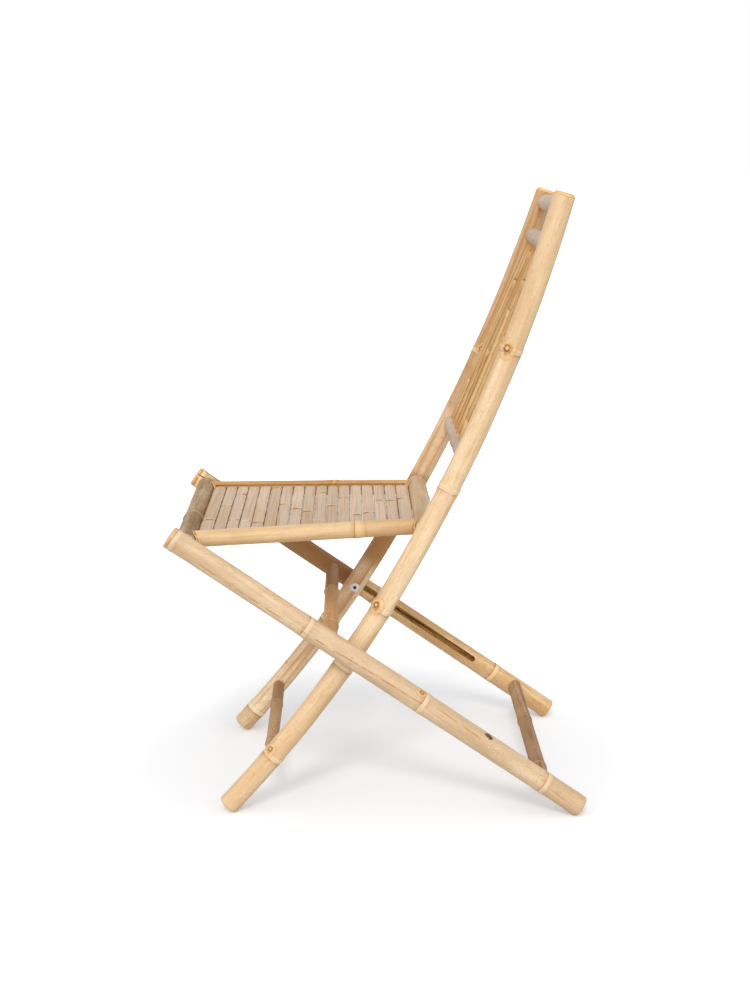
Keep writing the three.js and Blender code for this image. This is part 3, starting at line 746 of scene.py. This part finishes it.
rail_setback, lower_rail_at, second_rail_at, top_rail_at = 0.004, 0.312, 0.630, 0.683
lower_radius, second_radius, front_stretcher_radius = 0.0125, 0.013, 0.0102
for name, at, setback, radius, nodes, seed, material, kind, marks in (
    ("front_stretcher_culm", 0.093 - post_below, 0.0, front_stretcher_radius, (0.3, 0.81), 15,
     front_stretcher_finish, "stretcher", {"scars": ((0.81, 40, 0.006, 0.007),)}),
    ("lower_back_rail_culm", lower_rail_at, rail_setback, lower_radius, (0.51,), 16, rail_finish,
     "cross_rail", {"tones": (0.25, 0.1)}),
    ("second_rail_culm", second_rail_at, rail_setback, second_radius, (0.54,), 17, rail_finish,
     "cross_rail", {}),
    ("top_rail_culm", top_rail_at, rail_setback, second_radius, (0.36, 0.8), 18, rail_finish,
     "cross_rail", {}),
):
    ends = [on_post(outward, at, setback)[0] for outward in right_and_left]
    carriers = [(*on_post(outward, at), post_radius - cope_bite) for outward in right_and_left]
    cross_pole(name, *ends, radius, nodes, seed, carriers, material, "back_frame", kind, **marks)

# Back slats: seven strips split from a thick culm, skin side forward, planed along both edges and
# tenoned into the lower and the second rail.
def split_bamboo(name, dull, fresh, gold, brown, sides, rim, streaky=0.4, threads=420, shine=0.2):
    """Split bamboo: weathered skin with straight fibres, an orange line and a low ridge at each node. It
    has painted highlight and shade either side of each ridge, and painted shade on the flanks and ends.
    """
    finish = Finish(name)
    dull, fresh, gold, brown, sides = [paint(*shade) for shade in (dull, fresh, gold, brown, sides)]
    grain = finish.reading("grain", "Vector")
    clouds = finish.noise(grain, (14, 90, 90), 3)
    fibres = finish.noise(grain, (22, 1500, 1500), 3, 0.6)
    streaks = finish.noise(grain, (5, threads, threads), 2)
    dashes = finish.noise(grain, (90, 700, 700), 2)
    colour = finish.coated(
        dull,
        # Lighter towards fresh by the tone layer: a random tone for each strip and internode, plus a
        # painted highlight towards the seat slats' far side.
        (finish.reading("tone"), fresh),
        (finish.step(clouds, 0.4, 0.7) * 0.5, gold),
        (finish.step(streaks, 0.46, 0.68) * streaky, brown),
        (finish.step(dashes, 0.6, 0.72) * 0.3, brown))
    colour = finish.shaded(colour, fibres * 0.26, 0.87)

    ring, ringed, flank = (finish.reading(layer) for layer in ("ring", "ringed", "flank"))
    line = finish.step(ring, -0.001, 0.0002) * finish.step(ring, 0.003, 0.0014)
    line = line * finish.step(clouds, 0.36, 0.62) * ringed
    # Painted highlight on the long rise up to each node ridge, and painted shade past its steep edge.
    above = finish.step(ring, -0.014, -0.003) * finish.step(ring, 0.0, -0.001) * ringed
    below = finish.step(ring, 0.016, 0.002) * finish.step(ring, 0.0008, 0.002) * ringed
    # Painted shade for the flanks: the sides colour streaked with brown, and a mix of gold and dull on the
    # underside.
    flank_painted_shade = finish.mix(finish.step(streaks, 0.4, 0.65), sides, brown)
    flank_painted_shade = finish.mix(finish.step(flank, 1.5, 2.0), flank_painted_shade, finish.mix(streaks, gold, dull))
    uneven = finish.noise(grain, (50, 90, 90), 3) * 0.3 - 0.15
    colour = finish.coated(
        colour,
        (above * 0.6, fresh),
        (below * 0.45, gold),
        (line * 0.9, paint(150, 96, 50)),
        # Painted shade: golden towards both ends of each strip, where it runs into the rails.
        (finish.step(finish.reading("end") + clouds * 0.5, 0.5, 1.2) * 0.7, gold),
        # Painted shade over the flanks, reaching onto the crown's edges where rim is below 1.
        (finish.step(flank + uneven, rim, rim + 0.07) * 0.92, flank_painted_shade))
    height = fibres * 0.00008 + streaks * 0.00014 - line * 0.0003
    finish.surface(colour, fibres * 0.2 + clouds * 0.1 + 0.45, height, shine=shine)
    return finish


# The fifth colour is painted shade on the slats' flanks.
back_slat_finish = split_bamboo("golden_split_bamboo", (198, 148, 92), (240, 202, 144), (202, 146, 80),
                                (130, 80, 38), (176, 120, 64), rim=1.05, streaky=0.75, threads=270,
                                shine=0.1)


def strip(length, width, thickness, crown, nodes, seed, edge, lean=0.0, painted_far_highlight=0.0):
    """A split strip along +X, centred, flat below and crowned above, with a ridge at each node."""
    bm = bmesh.new()
    half, deep, rises = width / 2, thickness / 2, 8
    section = [(-half, -deep + edge), (-half + edge, -deep), (half - edge, -deep), (half, -deep + edge)]
    for k in range(rises + 1):
        across = 1 - 2 * k / rises
        worn = edge * 0.6 if k in (0, rises) else 0
        section.append((half * across, deep - crown * across ** 2 - worn))
    face = bm.faces.new([bm.verts.new((-length / 2, y, z)) for y, z in section])
    stations = [-length / 2]
    while stations[-1] < length / 2 - 0.001:
        near = min((abs(stations[-1] - place) for place in nodes), default=1)
        stations.append(stations[-1] + (0.0007 if near < 0.006 else 0.0018 if near < 0.012 else 0.004))
    steps = len(stations) - 1
    stations[-1] = length / 2
    bmesh.ops.spin(bm, geom=[face], cent=(0, 0, 0), axis=(1, 0, 0), dvec=(length / steps, 0, 0), angle=0,
                   steps=steps)
    bmesh.ops.remove_doubles(bm, verts=bm.verts, dist=1e-6)
    for v in bm.verts:
        v.co.x = stations[round((v.co.x / length + 0.5) * steps)]
    inner = [f for f in bm.faces
             if abs(f.normal.x) > 0.9 and abs(f.calc_center_median().x) < length / 2 - 1e-4]
    bmesh.ops.delete(bm, geom=inner, context="FACES_ONLY")
    if not any(f.calc_center_median().x < -length / 2 + 1e-5 for f in bm.faces):
        bmesh.ops.holes_fill(bm, edges=[e for e in bm.edges if e.is_boundary], sides=0)
    bmesh.ops.recalc_face_normals(bm, faces=bm.faces)

    layers = bm.verts.layers
    grain = layers.float_vector.new("grain")
    ring, ringed, tone, flank, end = map(layers.float.new, ("ring", "ringed", "tone", "flank", "end"))
    shift = Vector((2.3 * seed, 1.1 * seed, 0.7 * seed))
    shade = 0.55 + 0.7 * noise.noise(Vector((seed * 1.37, 0.2, 0.7)))
    for v in bm.verts:
        x, y, z = v.co
        v[grain] = v.co + shift
        gap = min((x - place - lean * y for place in nodes), key=abs, default=1)
        gap += 0.0014 * noise.noise(Vector((seed, 90 * y, 0.4)))
        v[ring] = max(-node_reach, min(node_reach, gap))
        v[ringed] = abs(gap) < node_reach
        internode = sum(x > place + lean * y for place in nodes)
        change = 0.45 * noise.noise(Vector((seed, 0.3 + 2.1 * internode, 0.9)))
        # Painted highlight: the last term makes each strip lighter towards its -x end, the seat's far
        # side.
        v[tone] = max(0.0, min(1.0, shade + change - 0.5 * painted_far_highlight * x / length))
        v[flank] = abs(y) / half if z > deep - crown - edge else 1.3 if z > edge * 0.5 - deep else 2.2
        v[end] = max(0.0, 1 - (length / 2 - abs(x)) / 0.03)
        ridge = 0.0011 * eased((0.0016 - gap) / 0.0014) * math.exp(min(0.0, gap) / 0.007)
        thin = 0.0004 * noise.noise(Vector((9 * x, seed, 30 * y)))
        if z > 0:
            v.co.z += min(0.0, thin) + ridge - 0.001
        v.co.y += 0.00014 * noise.noise(Vector((7 * x, seed, 0.1)))
        if abs(y) > half * 0.8:
            v.co.y *= 1 - 0.012 * (1 + noise.noise(Vector((16 * x, seed + 5, y * 100))))
    return bm


slat_count, slat_pitch, slat_width, slat_thickness, slat_forward = 7, 0.046, 0.022, 0.009, 0.003
slat_crown, slat_edge, tenon = 0.001, 0.0014, 0.002
slat_nodes = ((-0.08,), (0.09,), (-0.02, 0.14), (0.05,), (-0.12, 0.1), (0.02,), (-0.05,))
for index in range(slat_count):
    share = 0.5 + (index - (slat_count - 1) / 2) * slat_pitch / (2 * post_x)
    right_side, left_side = (
        [on_post(outward, at, rail_setback - slat_forward)[0] for at in (lower_rail_at, second_rail_at)]
        for outward in right_and_left)
    foot, head = (right.lerp(left, share) for right, left in zip(right_side, left_side))
    along = (head - foot).normalized()
    start, end = foot + along * (lower_radius - tenon), head - along * (second_radius - tenon)
    slat = strip((end - start).length, slat_width, slat_thickness, slat_crown, slat_nodes[index],
                 60 + index, slat_edge)
    sideways = Vector((-1, 0, 0))
    place = Matrix((along, sideways, along.cross(sideways))).transposed().to_4x4()
    place.translation = (start + end) / 2
    settle(slat, f"back_slat_{index + 1}_strip", place, back_slat_finish, "back_frame", "slat",
           f"back_slat_{index + 1}")

# Pivot bolts: flat round heads with a hexagon socket, on the posts' inner faces. A white plastic
# washer keeps each post off its leg.
bolt_radius, head_radius, head_thickness, head_bevel = 0.003, 0.0075, 0.003, 0.0006
socket_radius, socket_depth, socket_edge = 0.0029, 0.002, 0.0002
washer_radius, washer_thickness = 0.0085, 0.002
post_outer, post_inner = post_x + post_radius, post_x - post_radius
# Painted shade: a dark copy of the zinc lines the hexagon socket.
socket_painted_shade = zinc("painted_shade_socket", (84, 72, 60), (50, 42, 36))
nylon = Finish("white_nylon")
where = nylon.node("ShaderNodeTexCoord", {}, {}, "Object")
cloudy = nylon.noise(where, (300, 300, 300), 3)
nylon.surface(nylon.mix(cloudy, paint(236, 232, 222), paint(222, 216, 202)), cloudy * 0.2 + 0.35,
              cloudy * 0.00008, strength=0.3)
washer_from = post_outer + fit_gap
washer_to = washer_from + washer_thickness
face = post_inner - fit_gap
head_face = face - head_thickness
for side, outward in sides.items():
    mirror = Matrix.Rotation(0 if outward > 0 else math.pi, 4, "Z")
    washer = turned([(bolt_radius + fit_gap, washer_from), (washer_radius, washer_from),
                     (washer_radius, washer_to), (bolt_radius + fit_gap, washer_to)])
    rounded_edges(washer, turned_edge)
    settle(washer, f"{side}_washer_moulded", back_line @ mirror, nylon, "back_frame", "nylon",
           f"{side}_spacer_washer")

    bolt = turned([(0, head_face), (head_radius - head_bevel, head_face),
                   (head_radius, head_face + head_bevel), (head_radius, face), (bolt_radius, face),
                   (bolt_radius, washer_to), (0, washer_to)])
    key = bmesh.new()
    bmesh.ops.create_cone(key, cap_ends=True, segments=6, radius1=socket_radius, radius2=socket_radius,
                          depth=2 * socket_depth)
    bmesh.ops.rotate(key, verts=key.verts, matrix=Matrix.Rotation(math.pi / 2, 3, "Y"))
    bmesh.ops.translate(key, verts=key.verts, vec=(head_face, 0, 0))
    bolt = carved(bolt, key)
    rounded_edges(bolt, socket_edge)
    # Painted shade: faces inside the socket take the second material.
    for f in bolt.faces:
        spot = f.calc_center_median()
        in_socket = math.hypot(spot.y, spot.z) < socket_radius - 1e-5
        if in_socket and 1e-5 < spot.x - head_face < socket_depth + 0.0005:
            f.material_index = 1
    settle(bolt, f"{side}_bolt_turned", back_line @ mirror, steel, "back_frame", "steel",
           f"{side}_pivot_bolt", painted_shade_lining=socket_painted_shade)

# Seat frame: the front rail turns between the legs and the rear rail between the posts, on hidden
# steel pins. Two side rails are coped between them, closer together at the rear.
seat_line = along_pole(front_hinge, rear_hinge - front_hinge)
crosswise = seat_line.to_3x3() @ Vector((0, 0, 1))
hinge_span = (rear_hinge - front_hinge).length
front_rail_end, rear_rail_end = leg_x - leg_radius - fit_gap, post_inner - fit_gap
seat_rail_radius, side_rail_radius = 0.0155, 0.013
front_spacing, rear_spacing = 0.340, 0.266
seat_thickness, seat_top = 0.0055, 0.0065
groove_from, groove_to = seat_rail_radius + 0.002, hinge_span - seat_rail_radius - 0.002
groove_depth, groove_height, groove_room, groove_tear = 0.008, 0.0026, 0.001, 0.004
# Painted shadow: near-black bamboo lines the groove in each side rail, over the slat ends.
groove_painted_shadow = bamboo("painted_shadow_bamboo", (64, 40, 18), (84, 54, 28), (40, 24, 10), shine=0.02)
front_finish = bamboo("grey_brown_bamboo", (180, 146, 102), (206, 180, 144), (116, 82, 44),
                      flecks=0.3, shine=0.05, mottle=0.8, streaks=0.3, line=(214, 180, 138))
rear_rail_finish = bamboo("greenish_bamboo", (214, 184, 148), (226, 202, 170), (172, 134, 90),
                          flecks=0.3, streaks=0.35, gloss=0.45, shine=0.05)
near_side_finish = bamboo("yellow_bamboo", (220, 186, 140), (232, 200, 156), (190, 146, 94),
                          flecks=0.25, gloss=0.34, mottle=0.35, band=0.0155, line=(190, 120, 58))
far_side_finish = bamboo("amber_bamboo", (204, 153, 92), (218, 172, 114), (150, 100, 50),
                         flecks=0.25, gloss=0.36)
for name, at, reach, nodes, seed, material in (
    ("front_rail_culm", 0, front_rail_end, (0.627,), 21, front_finish),
    ("rear_rail_culm", hinge_span, rear_rail_end, (0.3575, 0.84), 22, rear_rail_finish),
):
    ends = [seat_line @ Vector((outward * reach, at, 0)) for outward in right_and_left]
    cross_pole(name, *ends, seat_rail_radius, nodes, seed, None, material, "seat", "cross_rail")
rail_carriers = [(seat_line @ Vector((0, at, 0)), Vector((1, 0, 0)), seat_rail_radius - cope_bite)
                 for at in (0, hinge_span)]
splay = math.atan2(front_spacing - rear_spacing, 2 * hinge_span)
for side, node, seed, material in (("left", 0.7, 23, near_side_finish),
                                   ("right", 0.6, 24, far_side_finish)):
    outward = sides[side]
    ends = [seat_line @ Vector((outward * front_spacing / 2, 0, 0)),
            seat_line @ Vector((outward * rear_spacing / 2, hinge_span, 0))]
    middle = Vector((outward * (groove_depth - 1.5 * side_rail_radius),
                     (groove_from + groove_to) / 2 / math.cos(splay),
                     seat_top - seat_thickness / 2 + groove_height / 2 - fit_gap))
    size = Vector((side_rail_radius, (groove_to - groove_from) / math.cos(splay) + 2 * groove_room,
                   seat_thickness + groove_height))
    # The groove's lining is painted shadow.
    cross_pole(f"{side}_side_rail_culm", *ends, side_rail_radius, (node,), seed, rail_carriers,
               material, "seat", "pole", torn=groove_tear, groove=(middle, size), painted_shade_lining=groove_painted_shadow)
for pin in ("left_front_pin", "right_front_pin", "left_rear_pin", "right_rear_pin"):
    rod = frame["nodes"][pin]
    rod.data.materials.clear()
    rod.data.materials.append(steel.owner)

# Seat slats: seventeen strips of split bamboo laid side by side, skin up, shorter towards the rear.
# Their ends are held in a groove along each side rail.
seat_count, seat_gap, seat_crown, seat_edge = 17, 0.0002, 0.0013, 0.0012
seat_play, outer_slat_extra = 0.0004, 0.0024
seat_pitch = (groove_to - groove_from) / seat_count
seat_nodes_mm = ((-105, 75), (-17,), (-95, 79), (89,), (101,), (-136,), (-13,), (20,), (40,),
                 (-88, 104), (8,), (-49,), (73,), (62,), (-19,), (-16,), (-29,))
# The fifth colour is painted shade on the flanks; with rim at 0.89 it also covers the crowns' edges,
# darkening the gaps between slats.
seat_slat_finish = split_bamboo("cream_split_bamboo", (198, 172, 148), (228, 206, 184),
                                (214, 178, 132), (160, 124, 90), (90, 56, 28), rim=0.89)
for index in range(seat_count):
    share = (groove_from + (index + 1) * seat_pitch) / hinge_span
    spread = (front_spacing * (1 - share) + rear_spacing * share) / 2
    reach = spread - (side_rail_radius - groove_depth) - seat_play
    wider, leaning, tipped, askew = [noise.noise(Vector((index * 3.7, key, 0.5))) for key in (2, 3, 4, 5)]
    nodes = [place / 1000 for place in seat_nodes_mm[index]]
    outer = outer_slat_extra if index in (0, seat_count - 1) else 0.0
    width = seat_pitch - seat_gap + outer
    # Painted highlight: the seat slats grow lighter towards the far side rail.
    slat = strip(2 * reach, width * (1 + 0.004 * wider), seat_thickness, seat_crown, nodes, 30 + index,
                 seat_edge, lean=0.25 * leaning, painted_far_highlight=1)
    tilt = Euler((0.02 * tipped, 0.0, 0.0015 * askew)).to_matrix().to_4x4()
    middle = Vector((0, groove_from + (index + 0.5) * seat_pitch + (outer / 2 if index else -outer / 2),
                     seat_top - seat_thickness / 2))
    settle(slat, f"seat_slat_{index + 1:02d}_strip", seat_line @ Matrix.Translation(middle) @ tilt,
           seat_slat_finish, "seat", "slat", f"seat_slat_{index + 1:02d}")
